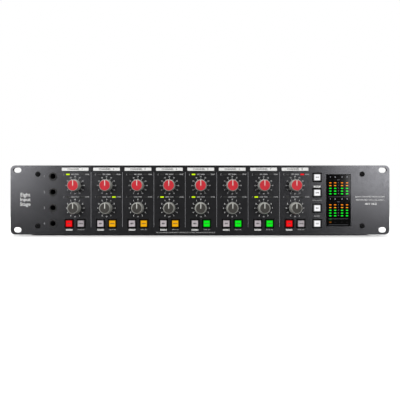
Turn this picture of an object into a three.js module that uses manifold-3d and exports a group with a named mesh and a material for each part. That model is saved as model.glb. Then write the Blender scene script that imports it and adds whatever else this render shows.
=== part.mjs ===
// Eight-channel microphone preamp for a 19-inch rack, two units high.
// Millimetres. +Z is up, the front panel faces -Y, and X runs to the right as seen from the front.
// The origin is the middle of the underside of the whole object's box.

import * as THREE from 'three';
import { mergeVertices } from 'three/addons/utils/BufferGeometryUtils.js';
import Module from 'manifold-3d';

const wasm = await Module();
wasm.setup();

// ---------------------------------------------------------------- driving dimensions

const GAP = 0.3; // left between pieces that touch
const MICROMETRES = 1000; // in a millimetre
const CHANNELS = 8;

// Front panel: a standard rack plate.
const RACK_UNIT = 44.45;
const PANEL_W = 482.6;
const PANEL_H = 2 * RACK_UNIT - 0.8;
const PANEL_T = 4;
const PANEL_CORNER_R = 6;
const PANEL_RELIEF = 0.5; // the back is this much thinner where the chassis meets it
const EAR_SLOT = { spanX: 465.1, spanZ: 76.2, length: 10.3, width: 6.8 };
const PANEL_SCREW = { spanX: 413, spanZ: 66, headR: 3.3, headH: 1.8, shankR: 1.5, length: 12 };
const SCREW_KEY = { r: 1.2, depth: 1.1 };

// Depths, front to back.
const KNOB_H = 16;
const CHASSIS_DEPTH = 290;
const REAR_REACH = 11; // how far the longest rear socket stands out
const FRONT_Y = KNOB_H - (KNOB_H + PANEL_T + CHASSIS_DEPTH + REAR_REACH) / 2;
const EAR_BACK_Y = FRONT_Y + PANEL_T;
const INNER_Y = EAR_BACK_Y - PANEL_RELIEF; // the thinner middle's back face
const REAR_Y = EAR_BACK_Y + CHASSIS_DEPTH;
const MID_Z = PANEL_H / 2;

// Chassis: folded sheet, a little lower than the panel.
const SHEET = 1.5;
const CHASSIS_W = 440;
const CHASSIS_CLEAR = 1; // under the panel's lower edge, and over its upper edge
const TRAY_HALF = CHASSIS_W / 2 - SHEET - GAP;
const TRAY_Z = CHASSIS_CLEAR;
const COVER_TOP = PANEL_H - CHASSIS_CLEAR;
const TRAY_TOP = COVER_TOP - SHEET - GAP;
const TRAY_FRONT = INNER_Y + GAP;
const FLANGE_W = 22; // the tray's folded front edge, which the panel screws go through
const COVER_LIP = 14;
const VENT_W = 5;

// Channel strips.
const CHANNEL_PITCH = 40;
const FIRST_CHANNEL_X = -159;
const GAIN_Z = MID_Z + 18.4;
const TRIM_Z = MID_Z - 10.4;
const BUTTON_ROW_Z = MID_Z - 30;
const BUTTON_OFFSET = 7.5;
const LED_OFFSET = 9.3;
const LED_ABOVE_DIAL = 14.2;
const LED_WINDOW = { w: 4.7, h: 1.9 };

// Right-hand controls and meter.
const FUNCTION_X = 149;
const FUNCTION_PITCH = 19.6;
const METER = { x: 176.3, z: MID_Z - 0.4, w: 31.4, h: 66.4 };
const METER_PANE = { sunk: 0.2, t: 1.5 };
const METER_GUIDE_SUNK = 2.4;

// Instrument jacks on the left.
const JACK_X = -187.2;
const JACK_PITCH = 20;
const JACK = { bushR: 5, bushProud: 0.4, boreR: 3.6, body: 14, depth: 27, boreDepth: 29 };

// Knobs and what they turn.
const KNOB = { baseR: 8, shoulderR: 7.6, faceR: 6.2, chamfer: 1.6, lift: 0.8, shaftR: 2.5 };
const POT = { size: 11, bushR: 4, boreR: 2.8, shaftDepth: 9 };

// Push buttons and what they press.
const CAP = { size: 8.5, proud: 1.8, depth: 4.8, cornerR: 0.7 };
const CAP_HOLE = 11.8;
const FRAME_SUNK = 0.6;
const LIGHT_SEAL_T = 1.2; // the strip that joins the frames behind the panel
const STEM = { size: 4, depth: 4.3 };
const SWITCH = { size: 9, wellDepth: 6.5 };

// Circuit boards.
const BOARD_T = 1.6;
const CONTROL_BOARD_Y = EAR_BACK_Y + 10;
const UPPER_BOARD_Z = 45;
const LOWER_BOARD_Z = 10;
const HEADER_H = 6; // cable headers stand this far off their boards
const HEADER_D = 7;
const CABLE = { x: 15, w: 26, t: 1, headerW: 30, frontZ: 53.5, endY: -30, sag: 12 };

// Rear sockets.
const MIC_INPUT = {
  firstX: -100,
  pitch: 40,
  z: 60,
  r: 11.4,
  proud: 1.5,
  grooveR: 9.7,
  grooveDepth: 9,
  coreR: 7.9,
  coreSunk: 0.4,
};
const LOWER_ROW_Z = 20;
const MULTIWAY_X = [50, 112, 174]; // the 25-way sockets
const CLOCK_X = [-16, 6];
const OPTICAL_X = [-82, -66, -50, -34];
const INLET = { x: -188, z: 28, w: 24.4, h: 16.8, depth: 17, bladeInset: 5 };
const INLET_BODY = { x: -175, w: 50, h: 26, flangeW: 58, flangeH: 31, flangeT: 2, depth: 30 };
const INLET_FACE_Y = REAR_Y + GAP + INLET_BODY.flangeT;
const BLADE = { w: 2, h: 4, spread: 7, rise: 2 };
const ROCKER = { x: -158, w: 11, h: 16.6, tilt: 9, pivotInset: 1, wellDepth: 12 };
const MULTIWAY = { w: 39, h: 8.6, sideAngle: 10, flangeW: 53, flangeH: 12.5, proud: 6 };
const CLOCK = { r: 4.8, reach: 5, tipR: 4.2, body: 13 };
const OPTICAL = { size: 10, proud: 0.8 };
const USB = { x: -104, w: 9, h: 3.4, proud: 0.3 };

// ---------------------------------------------------------------- outlines

const point = (x, y) => new THREE.Vector2(x, y);

function arc(cx, cy, r, from, to, steps) {
  return Array.from({ length: steps + 1 }, (_, i) => {
    const angle = from + ((to - from) * i) / steps;
    return point(cx + r * Math.cos(angle), cy + r * Math.sin(angle));
  });
}

const circle = (cx, cy, r, steps) => arc(cx, cy, r, 0, 2 * Math.PI, steps).slice(0, -1);

function rect(cx, cy, w, h) {
  return [
    point(cx - w / 2, cy - h / 2),
    point(cx + w / 2, cy - h / 2),
    point(cx + w / 2, cy + h / 2),
    point(cx - w / 2, cy + h / 2),
  ];
}

function roundRect(cx, cy, w, h, r, steps) {
  const corners = [
    [1, 1],
    [-1, 1],
    [-1, -1],
    [1, -1],
  ];
  const quarter = Math.PI / 2;
  return corners.flatMap(([sx, sy], i) => {
    const [x, y] = [cx + sx * (w / 2 - r), cy + sy * (h / 2 - r)];
    return arc(x, y, r, i * quarter, (i + 1) * quarter, steps);
  });
}

// A slot with full round ends. It runs along whichever of w and h is the longer.
function slot(cx, cy, w, h, steps) {
  const r = Math.min(w, h) / 2;
  const along = Math.max(w, h) / 2 - r;
  const turn = w > h ? 0 : Math.PI / 2;
  const [dx, dy] = w > h ? [along, 0] : [0, along];
  return [
    ...arc(cx + dx, cy + dy, r, turn - Math.PI / 2, turn + Math.PI / 2, steps),
    ...arc(cx - dx, cy - dy, r, turn + Math.PI / 2, turn + (3 * Math.PI) / 2, steps),
  ];
}

// ---------------------------------------------------------------- solids

function extruded(outline, thickness) {
  return new THREE.ExtrudeGeometry(new THREE.Shape(outline), { depth: thickness, bevelEnabled: false });
}

// An upright plate whose outline is in X and Z, from y to y + thickness.
function uprightPlate(outline, holes, y, thickness) {
  const upright = (line, front, depth) =>
    extruded(line, depth)
      .rotateX(Math.PI / 2)
      .translate(0, front + depth, 0);
  const punches = holes.map((hole) => upright(hole, y - 1, thickness + 2));
  return cut(upright(outline, y, thickness), ...punches);
}

// A level plate whose outline is in X and Y, from z to z + thickness.
function levelPlate(outline, holes, z, thickness) {
  const level = (line, bottom, depth) => extruded(line, depth).translate(0, 0, bottom);
  const punches = holes.map((hole) => level(hole, z - 1, thickness + 2));
  return cut(level(outline, z, thickness), ...punches);
}

// A bar along X whose outline is in Y and Z.
function barAlongX(outline, x, length) {
  return extruded(outline, length)
    .rotateX(Math.PI / 2)
    .rotateZ(Math.PI / 2)
    .translate(x, 0, 0);
}

function box(x0, x1, y0, y1, z0, z1) {
  const geometry = new THREE.BoxGeometry(x1 - x0, y1 - y0, z1 - z0);
  return geometry.translate((x0 + x1) / 2, (y0 + y1) / 2, (z0 + z1) / 2);
}

// A box given by its middle in X and Z, its width and height, and its two ends in Y.
const block = (x, z, w, h, y0, y1) => box(x - w / 2, x + w / 2, y0, y1, z - h / 2, z + h / 2);

function cylinderY(x, z, r, y0, y1, steps) {
  return new THREE.CylinderGeometry(r, r, y1 - y0, steps).translate(x, (y0 + y1) / 2, z);
}

function cylinderZ(x, y, r, z0, z1, steps) {
  const upright = new THREE.CylinderGeometry(r, r, z1 - z0, steps).rotateX(Math.PI / 2);
  return upright.translate(x, y, (z0 + z1) / 2);
}

// A solid of revolution about Y, from [radius, y] pairs that run from its front end to its back end.
function turned(profile, steps) {
  return new THREE.LatheGeometry(
    profile.map(([r, y]) => point(r, y)),
    steps,
  );
}

// Coordinates are rounded to a micrometre first, so that faces meant to be flush with each other are.
function solid(geometry) {
  const bare = geometry.clone();
  bare.deleteAttribute('normal');
  bare.deleteAttribute('uv');
  const { array } = bare.attributes.position;
  array.forEach((value, i) => {
    array[i] = Math.round(value * MICROMETRES) / MICROMETRES;
  });
  const merged = mergeVertices(bare, 1e-4);
  const vertProperties = merged.attributes.position.array;
  const triVerts = new Uint32Array(merged.index.array);
  return new wasm.Manifold(new wasm.Mesh({ numProp: 3, vertProperties, triVerts }));
}

function geometryOf(manifold) {
  const mesh = manifold.getMesh();
  const indexed = new THREE.BufferGeometry();
  indexed.setAttribute('position', new THREE.BufferAttribute(Float32Array.from(mesh.vertProperties), 3));
  indexed.setIndex(new THREE.BufferAttribute(mesh.triVerts, 1));
  const flat = indexed.toNonIndexed();
  flat.computeVertexNormals();
  return flat;
}

const join = (...pieces) => geometryOf(pieces.map(solid).reduce((a, b) => a.add(b)));

const cut = (piece, ...tools) => geometryOf(tools.map(solid).reduce((a, b) => a.subtract(b), solid(piece)));

// ---------------------------------------------------------------- places that repeat

const inSteps = (first, pitch, count) => Array.from({ length: count }, (_, i) => first + i * pitch);

// Evenly spaced from first to last.
const spread = (first, last, count) => inSteps(first, (last - first) / (count - 1), count);

const channelXs = inSteps(FIRST_CHANNEL_X, CHANNEL_PITCH, CHANNELS);
const dialPlaces = channelXs.flatMap((x) => [
  [x, GAIN_Z],
  [x, TRIM_Z],
]);
const ledPlaces = dialPlaces.flatMap(([x, z]) => [
  [x - LED_OFFSET, z + LED_ABOVE_DIAL],
  [x + LED_OFFSET, z + LED_ABOVE_DIAL],
]);
const rowButtonXs = channelXs.flatMap((x) => [x - BUTTON_OFFSET, x + BUTTON_OFFSET]);
const functionZs = [3, 2, 1, 0].map((i) => BUTTON_ROW_Z + i * FUNCTION_PITCH);
const rowPlaces = rowButtonXs.map((x) => [x, BUTTON_ROW_Z]);
const columnPlaces = functionZs.map((z) => [FUNCTION_X, z]);
const buttonPlaces = [...rowPlaces, ...columnPlaces];
const jackZs = [1.5, 0.5, -0.5, -1.5].map((i) => MID_Z + i * JACK_PITCH);
const fourCorners = (spanX, spanZ) =>
  [
    [-1, 1],
    [1, 1],
    [-1, -1],
    [1, -1],
  ].map(([sx, sz]) => [(sx * spanX) / 2, MID_Z + (sz * spanZ) / 2]);
const screwPlaces = fourCorners(PANEL_SCREW.spanX, PANEL_SCREW.spanZ);
const slotPlaces = fourCorners(EAR_SLOT.spanX, EAR_SLOT.spanZ);
const micInputXs = inSteps(MIC_INPUT.firstX, MIC_INPUT.pitch, CHANNELS);

// ---------------------------------------------------------------- front panel and what it carries

function frontPanel() {
  const holes = [
    ...slotPlaces.map(([x, z]) => slot(x, z, EAR_SLOT.length, EAR_SLOT.width, 6)),
    ...dialPlaces.map(([x, z]) => circle(x, z, POT.bushR + GAP, 8)),
    ...ledPlaces.map(([x, z]) => rect(x, z, LED_WINDOW.w, LED_WINDOW.h)),
    ...buttonPlaces.map(([x, z]) => rect(x, z, CAP_HOLE, CAP_HOLE)),
    ...jackZs.map((z) => circle(JACK_X, z, JACK.bushR + GAP, 14)),
    ...screwPlaces.map(([x, z]) => circle(x, z, PANEL_SCREW.shankR + GAP, 8)),
    rect(METER.x, METER.z, METER.w, METER.h),
  ];
  const outline = roundRect(0, MID_Z, PANEL_W, PANEL_H, PANEL_CORNER_R, 5);
  const plate = uprightPlate(outline, holes, FRONT_Y, PANEL_T);
  const reliefHalf = CHASSIS_W / 2 + 1;
  const relief = box(-reliefHalf, reliefHalf, INNER_Y, EAR_BACK_Y + 1, -1, PANEL_H + 1);
  return cut(plate, relief);
}

// Button-head screw. Its head bears on the panel at y = 0, and its shank runs to +y.
function panelScrew() {
  const { headR, headH, shankR, length } = PANEL_SCREW;
  const body = turned(
    [
      [0, -headH],
      [headR * 0.62, -headH],
      [headR, -headH * 0.35],
      [headR, 0],
      [shankR, 0],
      [shankR, length],
      [0, length],
    ],
    12,
  );
  const socket = cylinderY(0, 0, SCREW_KEY.r, -headH - 1, SCREW_KEY.depth - headH, 6);
  return cut(body, socket);
}

// Instrument jack: a round bush through the panel, a square body behind it, and one bore.
function instrumentJack() {
  const bodyFront = INNER_Y - FRONT_Y + GAP;
  const bush = cylinderY(0, 0, JACK.bushR, -JACK.bushProud, bodyFront + 1, 14);
  const body = block(0, 0, JACK.body, JACK.body, bodyFront, bodyFront + JACK.depth);
  const bore = cylinderY(0, 0, JACK.boreR, -1, JACK.boreDepth, 12);
  return cut(join(bush, body), bore);
}

// A block in the meter's opening, with a margin round it, from y0 to y1.
function inMeter(margin, y0, y1) {
  return block(METER.x, METER.z, METER.w + 2 * margin, METER.h + 2 * margin, y0, y1);
}

// Smoked window, held flush in the panel by the light guide behind it.
function meterWindow() {
  const front = FRONT_Y + METER_PANE.sunk;
  return inMeter(-GAP, front, front + METER_PANE.t);
}

// Meter board with the black light guide that carries the segments up to the window.
function meterBoard() {
  const boardBack = CONTROL_BOARD_Y + BOARD_T;
  const guide = inMeter(-GAP, FRONT_Y + METER_GUIDE_SUNK, CONTROL_BOARD_Y + 1);
  const board = inMeter(2, CONTROL_BOARD_Y, boardBack);
  const header = block(METER.x, METER.z, 22, 8, boardBack - 0.5, boardBack + HEADER_H);
  return join(guide, board, header);
}

// ---------------------------------------------------------------- knobs and buttons

// Knob with its shaft: the axis is Y, y = 0 is the panel's face, and the pointer face is at y = -KNOB_H.
function knob() {
  const { baseR, shoulderR, faceR, chamfer, lift, shaftR } = KNOB;
  return turned(
    [
      [0, -KNOB_H],
      [faceR, -KNOB_H],
      [shoulderR, chamfer - KNOB_H],
      [baseR, -lift],
      [shaftR, -lift],
      [shaftR, POT.shaftDepth],
      [0, POT.shaftDepth],
    ],
    12,
  );
}

// Button cap with its stem: y = 0 is the panel's face.
function buttonCap() {
  const back = CAP.depth - CAP.proud;
  const cap = uprightPlate(roundRect(0, 0, CAP.size, CAP.size, CAP.cornerR, 1), [], -CAP.proud, CAP.depth);
  const stem = block(0, 0, STEM.size, STEM.size, back - 1, back + STEM.depth);
  return join(cap, stem);
}

// Black frames round the caps, on a strip behind the panel that stops light from leaking.
function buttonSurround(places, cx, cz, w, h) {
  const stripY = INNER_Y + GAP;
  const frontY = FRONT_Y + FRAME_SUNK;
  const frame = CAP_HOLE - 2 * GAP;
  const opening = CAP.size + 2 * GAP;
  const openings = places.map(([x, z]) => rect(x, z, opening, opening));
  const strip = uprightPlate(rect(cx, cz, w, h), openings, stripY, LIGHT_SEAL_T);
  const frames = places.map(([x, z], i) =>
    uprightPlate(rect(x, z, frame, frame), [openings[i]], frontY, stripY + LIGHT_SEAL_T / 2 - frontY),
  );
  return join(strip, ...frames);
}

// Control board: a rotary control behind every knob, a switch behind every button and a light pipe
// in every window.
function controlBoard() {
  const boardBack = CONTROL_BOARD_Y + BOARD_T;
  const board = box(-175, 158, CONTROL_BOARD_Y, boardBack, 6, 82);
  const into = CONTROL_BOARD_Y + 0.5; // where what stands on the board's front ends
  const pots = dialPlaces.flatMap(([x, z]) => [
    block(x, z, POT.size, POT.size, EAR_BACK_Y + 2, into),
    cylinderY(x, z, POT.bushR, FRONT_Y + 0.5, EAR_BACK_Y + 3, 8),
  ]);
  const shaftEnd = FRONT_Y + POT.shaftDepth + 0.5;
  const potBores = dialPlaces.map(([x, z]) => cylinderY(x, z, POT.boreR, FRONT_Y, shaftEnd, 8));
  const switchY = EAR_BACK_Y + 2.6;
  const switches = buttonPlaces.map(([x, z]) => block(x, z, SWITCH.size, SWITCH.size, switchY, into));
  const well = STEM.size + 2 * GAP;
  const wellEnd = EAR_BACK_Y + SWITCH.wellDepth;
  const wells = buttonPlaces.map(([x, z]) => block(x, z, well, well, EAR_BACK_Y, wellEnd));
  const pipe = { w: LED_WINDOW.w - 2 * GAP, h: LED_WINDOW.h - 2 * GAP };
  const pipes = ledPlaces.map(([x, z]) => block(x, z, pipe.w, pipe.h, FRONT_Y + 0.7, into));
  const header = block(CABLE.x, CABLE.frontZ, CABLE.headerW, HEADER_D, into, boardBack + HEADER_H);
  return cut(join(board, ...pots, ...switches, ...pipes, header), ...potBores, ...wells);
}

// ---------------------------------------------------------------- chassis

// Posts that hold the boards, at [x, y, height over the tray's floor].
const POST_R = 3;
const POSTS = [
  ...[-78, 198].flatMap((x) => [62, 132].map((y) => [x, y, LOWER_BOARD_Z])),
  ...[-206, -134].flatMap((x) => [-28, 100].map((y) => [x, y, LOWER_BOARD_Z])),
  [-118, -20, UPPER_BOARD_Z],
  [-118, 132, UPPER_BOARD_Z],
  [209, -20, UPPER_BOARD_Z],
  [209, 132, UPPER_BOARD_Z],
];

// Tray: floor, two sides, a flange folded in at each front edge, and pressed-in posts.
function chassisTray() {
  const floorTop = TRAY_Z + SHEET;
  const floor = box(-TRAY_HALF, TRAY_HALF, TRAY_FRONT, REAR_Y, TRAY_Z, floorTop);
  const walls = [-1, 1].flatMap((side) => {
    const outer = side * TRAY_HALF;
    const inner = side * (TRAY_HALF - SHEET);
    const flangeEnd = side * (TRAY_HALF - FLANGE_W);
    const [w0, w1] = [Math.min(outer, inner), Math.max(outer, inner)];
    const [f0, f1] = [Math.min(outer, flangeEnd), Math.max(outer, flangeEnd)];
    return [
      box(w0, w1, TRAY_FRONT, REAR_Y, TRAY_Z, TRAY_TOP),
      box(f0, f1, TRAY_FRONT, TRAY_FRONT + SHEET, TRAY_Z, TRAY_TOP),
    ];
  });
  const posts = POSTS.map(([x, y, top]) => cylinderZ(x, y, POST_R, TRAY_Z + 0.5, top - GAP, 8));
  const screwHoles = screwPlaces.map(([x, z]) =>
    cylinderY(x, z, PANEL_SCREW.shankR + GAP, TRAY_FRONT - 1, TRAY_FRONT + SHEET + 1, 8),
  );
  const sideVents = spread(-40, 100, 8).map((y) =>
    barAlongX(slot(y, MID_Z + 1, VENT_W, 36, 2), -TRAY_HALF - 5, 2 * TRAY_HALF + 10),
  );
  return join(cut(join(floor, ...walls), ...screwHoles, ...sideVents), ...posts);
}

// Cover: a flat lid with a lip folded down over each side of the tray.
function topCover() {
  const half = CHASSIS_W / 2;
  const ventXs = [...spread(-180, -70, 8), ...spread(70, 180, 8)];
  const vents = ventXs.map((x) => slot(x, 75, VENT_W, 80, 2));
  const outline = rect(0, (TRAY_FRONT + REAR_Y) / 2, CHASSIS_W, REAR_Y - TRAY_FRONT);
  const lid = levelPlate(outline, vents, COVER_TOP - SHEET, SHEET);
  const lips = [-1, 1].map((side) => {
    const x = side * (half - SHEET / 2);
    return box(x - SHEET / 2, x + SHEET / 2, TRAY_FRONT, REAR_Y, COVER_TOP - COVER_LIP, COVER_TOP - 0.5);
  });
  return join(lid, ...lips);
}

// ---------------------------------------------------------------- rear panel and sockets

function rearPanel() {
  const half = TRAY_HALF - SHEET - GAP;
  const low = TRAY_Z + SHEET + GAP;
  const holes = [
    ...micInputXs.map((x) => circle(x, MIC_INPUT.z, MIC_INPUT.r + GAP, 16)),
    ...MULTIWAY_X.map((x) => rect(x, LOWER_ROW_Z, MULTIWAY.w + 2 * GAP, MULTIWAY.h + 2 * GAP)),
    ...CLOCK_X.map((x) => circle(x, LOWER_ROW_Z, CLOCK.r + GAP, 12)),
    ...OPTICAL_X.map((x) => rect(x, LOWER_ROW_Z, OPTICAL.size + 2 * GAP, OPTICAL.size + 2 * GAP)),
    rect(USB.x, LOWER_ROW_Z, USB.w + 2 * GAP, USB.h + 2 * GAP),
    rect(INLET_BODY.x, INLET.z, INLET_BODY.w + 2 * GAP, INLET_BODY.h + 2 * GAP),
  ];
  const outline = rect(0, (low + TRAY_TOP) / 2, 2 * half, TRAY_TOP - low);
  return uprightPlate(outline, holes, REAR_Y - SHEET, SHEET);
}

// One microphone socket: a round shell with a groove for the plug's sleeve round a core.
function micSocket(x) {
  const { z, r, grooveR, grooveDepth, coreR, coreSunk, proud } = MIC_INPUT;
  const face = REAR_Y + proud;
  const body = box(x - 13, x + 13, REAR_Y - 26, REAR_Y - SHEET - GAP, UPPER_BOARD_Z + 1, z + 13);
  const shell = cylinderY(x, z, r, REAR_Y - 14, face, 16);
  const groove = cylinderY(x, z, grooveR, face - grooveDepth, face + 1, 16);
  const core = cylinderY(x, z, coreR, face - grooveDepth - 1, face - coreSunk, 12);
  return join(cut(join(body, shell), groove), core);
}

// Upper board: eight microphone sockets and the eight amplifier sections behind them, each with its
// screening can, its relay and its capacitor.
function preampBoard() {
  const boardBack = REAR_Y - SHEET - GAP;
  const board = box(-125, 214, -32, boardBack, UPPER_BOARD_Z, UPPER_BOARD_Z + BOARD_T);
  const top = UPPER_BOARD_Z + BOARD_T - 0.5;
  const sections = micInputXs.flatMap((x) => [
    box(x - 14, x + 14, 10, 62, top, top + 14),
    box(x - 10, x + 10, 78, 90, top, top + 11),
    cylinderZ(x, 105, 5, top, top + 14, 8),
  ]);
  const { x: cableX, headerW, endY } = CABLE;
  const header = box(cableX - headerW / 2, cableX + headerW / 2, endY, endY + 10, top, top + 9);
  return join(board, ...micInputXs.map(micSocket), ...sections, header);
}

// What carries a socket of the lower row: a block from the board up to the socket's middle.
function socketFoot(x, w, depth) {
  return box(x - w / 2, x + w / 2, REAR_Y - depth, REAR_Y - 3, LOWER_BOARD_Z + 1, LOWER_ROW_Z);
}

// 25-way socket: a D-shaped shell that stands out behind its flange.
function multiwaySocket(x) {
  const { w, h, sideAngle, flangeW, flangeH, proud } = MULTIWAY;
  const bottomHalf = w / 2 - h * Math.tan(THREE.MathUtils.degToRad(sideAngle));
  const outline = [
    point(x - bottomHalf, LOWER_ROW_Z - h / 2),
    point(x + bottomHalf, LOWER_ROW_Z - h / 2),
    point(x + w / 2, LOWER_ROW_Z + h / 2),
    point(x - w / 2, LOWER_ROW_Z + h / 2),
  ];
  return [
    uprightPlate(outline, [], REAR_Y - 12, 12 + proud),
    block(x, LOWER_ROW_Z, flangeW, flangeH, REAR_Y - 4, REAR_Y - SHEET - GAP),
    socketFoot(x, w, 14),
  ];
}

// Clock socket: a threaded barrel with a bayonet tip.
function clockSocket(x) {
  const { r, reach, tipR, body } = CLOCK;
  return [
    block(x, LOWER_ROW_Z, body, body, REAR_Y - 15, REAR_Y - SHEET - GAP),
    cylinderY(x, LOWER_ROW_Z, r, REAR_Y - 4, REAR_Y + reach, 12),
    cylinderY(x, LOWER_ROW_Z, tipR, REAR_Y + reach - 1, REAR_Y + REAR_REACH, 12),
    socketFoot(x, 10, 14),
  ];
}

function opticalSocket(x) {
  const { size, proud } = OPTICAL;
  return [block(x, LOWER_ROW_Z, size, size, REAR_Y - 14, REAR_Y + proud), socketFoot(x, 8, 14)];
}

// Lower board: converters, clock, and the digital and multiway line sockets.
function converterBoard() {
  const boardBack = REAR_Y - SHEET - GAP;
  const board = box(-114, 204, 55, boardBack, LOWER_BOARD_Z, LOWER_BOARD_Z + BOARD_T);
  const serviceSocket = [
    block(USB.x, LOWER_ROW_Z, USB.w, USB.h, REAR_Y - 10, REAR_Y + USB.proud),
    socketFoot(USB.x, 8, 10),
  ];
  const top = LOWER_BOARD_Z + BOARD_T - 0.5;
  const chips = spread(-60, 170, 5).map((x) => box(x - 10, x + 10, 80, 100, top, top + 3));
  return join(
    board,
    ...MULTIWAY_X.flatMap(multiwaySocket),
    ...CLOCK_X.flatMap(clockSocket),
    ...OPTICAL_X.flatMap(opticalSocket),
    ...serviceSocket,
    ...chips,
  );
}

// Mains inlet with the power switch's frame beside it, in one moulding.
function mainsInlet() {
  const { x, w, h, flangeW, flangeH, depth } = INLET_BODY;
  const { z } = INLET;
  const flange = block(x, z, flangeW, flangeH, REAR_Y + GAP, INLET_FACE_Y);
  const body = block(x, z, w, h, REAR_Y - depth, REAR_Y + GAP + 1);
  const recessEnd = INLET_FACE_Y - INLET.depth;
  const recess = block(INLET.x, z, INLET.w, INLET.h, recessEnd, INLET_FACE_Y + 1);
  const wellEnd = INLET_FACE_Y - ROCKER.wellDepth;
  const rockerWell = block(ROCKER.x, z, ROCKER.w + 2 * GAP, ROCKER.h + 4 * GAP, wellEnd, INLET_FACE_Y + 1);
  const blade = (dx, dz) =>
    block(INLET.x + dx, z + dz, BLADE.w, BLADE.h, recessEnd - 1, INLET_FACE_Y - INLET.bladeInset);
  const { spread: across, rise } = BLADE;
  const blades = [blade(-across, -rise), blade(across, -rise), blade(0, rise)];
  return join(cut(join(flange, body), recess, rockerWell), ...blades);
}

// Power switch rocker, tipped to its on side. Its pivot lies along X at the group's own origin.
function powerRocker() {
  const { w, h, tilt, pivotInset } = ROCKER;
  const half = h / 2;
  const middle = pivotInset + 1.2;
  const tip = middle + half * Math.tan(THREE.MathUtils.degToRad(tilt));
  const outline = [
    point(tip, -half),
    point(middle, 0),
    point(tip, half),
    point(0, half),
    point(-5, 3),
    point(-5, -3),
    point(0, -half),
  ];
  return barAlongX(outline, -w / 2, w);
}

// ---------------------------------------------------------------- power supply and ribbon cable

// Mains power supply: transformer, capacitors, a finned heat sink and a choke.
function powerSupply() {
  const board = box(-212, -128, -34, 106, LOWER_BOARD_Z, LOWER_BOARD_Z + BOARD_T);
  const foot = LOWER_BOARD_Z + BOARD_T - 0.5;
  const tall = foot + 34;
  const transformer = box(-190, -152, 20, 58, foot, foot + 32);
  const bigCapacitor = cylinderZ(-196, 78, 9, foot, tall, 12);
  const smallCapacitors = spread(-192, -150, 4).map((x) => cylinderZ(x, -22, 5, foot, foot + 20, 8));
  const sinkBase = box(-142, -138, -10, 70, foot, tall);
  const sinkFins = spread(-8, 64, 7).map((y) => box(-140, -130, y, y + 2, foot, tall));
  const choke = cylinderZ(-160, 84, 10, foot, foot + 14, 12);
  return join(board, transformer, bigCapacitor, ...smallCapacitors, sinkBase, ...sinkFins, choke);
}

// Flat cable from the control board's header to the upper board's header, in one shallow hanging curve.
function ribbonCable() {
  const { x, w, t, frontZ, endY, sag } = CABLE;
  const start = { y: CONTROL_BOARD_Y + BOARD_T + HEADER_H + GAP, z: frontZ };
  const end = { y: endY - GAP, z: UPPER_BOARD_Z + 6 };
  const steps = 12;
  const line = spread(0, 1, steps + 1).map((along) => {
    const drop = sag * 4 * along * (1 - along);
    return point(start.y + (end.y - start.y) * along, start.z + (end.z - start.z) * along - drop);
  });
  const upper = line.map((p) => point(p.x, p.y + t / 2)).reverse();
  const lower = line.map((p) => point(p.x, p.y - t / 2));
  return barAlongX([...upper, ...lower], x - w / 2, w);
}

// ---------------------------------------------------------------- assembly

function finish(color, roughness, metalness) {
  return new THREE.MeshStandardMaterial({ color, roughness, metalness });
}

const FINISH = {
  panel: finish(0x3d3e41, 0.45, 0.5),
  sheet: finish(0x232427, 0.55, 0.6),
  screw: finish(0x101012, 0.4, 0.7),
  jack: finish(0x0c0c0d, 0.5, 0.1),
  knob: finish(0x8d8e8a, 0.45, 0.0),
  gainKnob: finish(0xc9333b, 0.45, 0.0),
  cap: finish(0xb9b4b8, 0.35, 0.0),
  redCap: finish(0xf0141a, 0.35, 0.0),
  amberCap: finish(0xf0a80c, 0.35, 0.0),
  greenCap: finish(0x10e02a, 0.35, 0.0),
  whiteCap: finish(0xf4f4f2, 0.35, 0.0),
  black: finish(0x08080a, 0.5, 0.0),
  window: finish(0x050506, 0.1, 0.0),
  board: finish(0x1d4a2c, 0.6, 0.1),
  cable: finish(0x9a9a9a, 0.6, 0.0),
};

const preamp = new THREE.Group();

function add(name, geometry, material, x = 0, y = 0, z = 0) {
  const mesh = new THREE.Mesh(geometry, material);
  mesh.name = name;
  mesh.position.set(x, y, z);
  preamp.add(mesh);
  return mesh;
}

add('front_panel', frontPanel(), FINISH.panel);
add('chassis_tray', chassisTray(), FINISH.sheet);
add('top_cover', topCover(), FINISH.sheet);
add('rear_panel', rearPanel(), FINISH.sheet);
add('control_board', controlBoard(), FINISH.board);
add('preamp_board', preampBoard(), FINISH.board);
add('converter_board', converterBoard(), FINISH.board);
add('power_supply', powerSupply(), FINISH.board);
add('ribbon_cable', ribbonCable(), FINISH.cable);
add('meter_board', meterBoard(), FINISH.black);
add('meter_window', meterWindow(), FINISH.window);
add('mains_inlet', mainsInlet(), FINISH.black);

const rowMiddle = (channelXs[0] + channelXs[CHANNELS - 1]) / 2;
const columnMiddle = (functionZs[0] + functionZs[3]) / 2;
const rowSurround = buttonSurround(rowPlaces, rowMiddle, BUTTON_ROW_Z, 308, 15);
const columnSurround = buttonSurround(columnPlaces, FUNCTION_X, columnMiddle, 15, 76);
add('channel_button_surround', rowSurround, FINISH.black);
add('function_button_surround', columnSurround, FINISH.black);

const screwShape = panelScrew();
const screwNames = ['upper_left', 'upper_right', 'lower_left', 'lower_right'];
screwPlaces.forEach(([x, z], i) => {
  add(`panel_screw_${screwNames[i]}`, screwShape, FINISH.screw, x, FRONT_Y - GAP, z);
});

const jackShape = instrumentJack();
jackZs.forEach((z, i) => {
  add(`instrument_jack_${i + 1}`, jackShape, FINISH.jack, JACK_X, FRONT_Y, z);
});

const knobShape = knob();
channelXs.forEach((x, i) => {
  add(`gain_knob_${i + 1}`, knobShape, FINISH.gainKnob, x, FRONT_Y, GAIN_Z);
  add(`trim_knob_${i + 1}`, knobShape, FINISH.knob, x, FRONT_Y, TRIM_Z);
});

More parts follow.
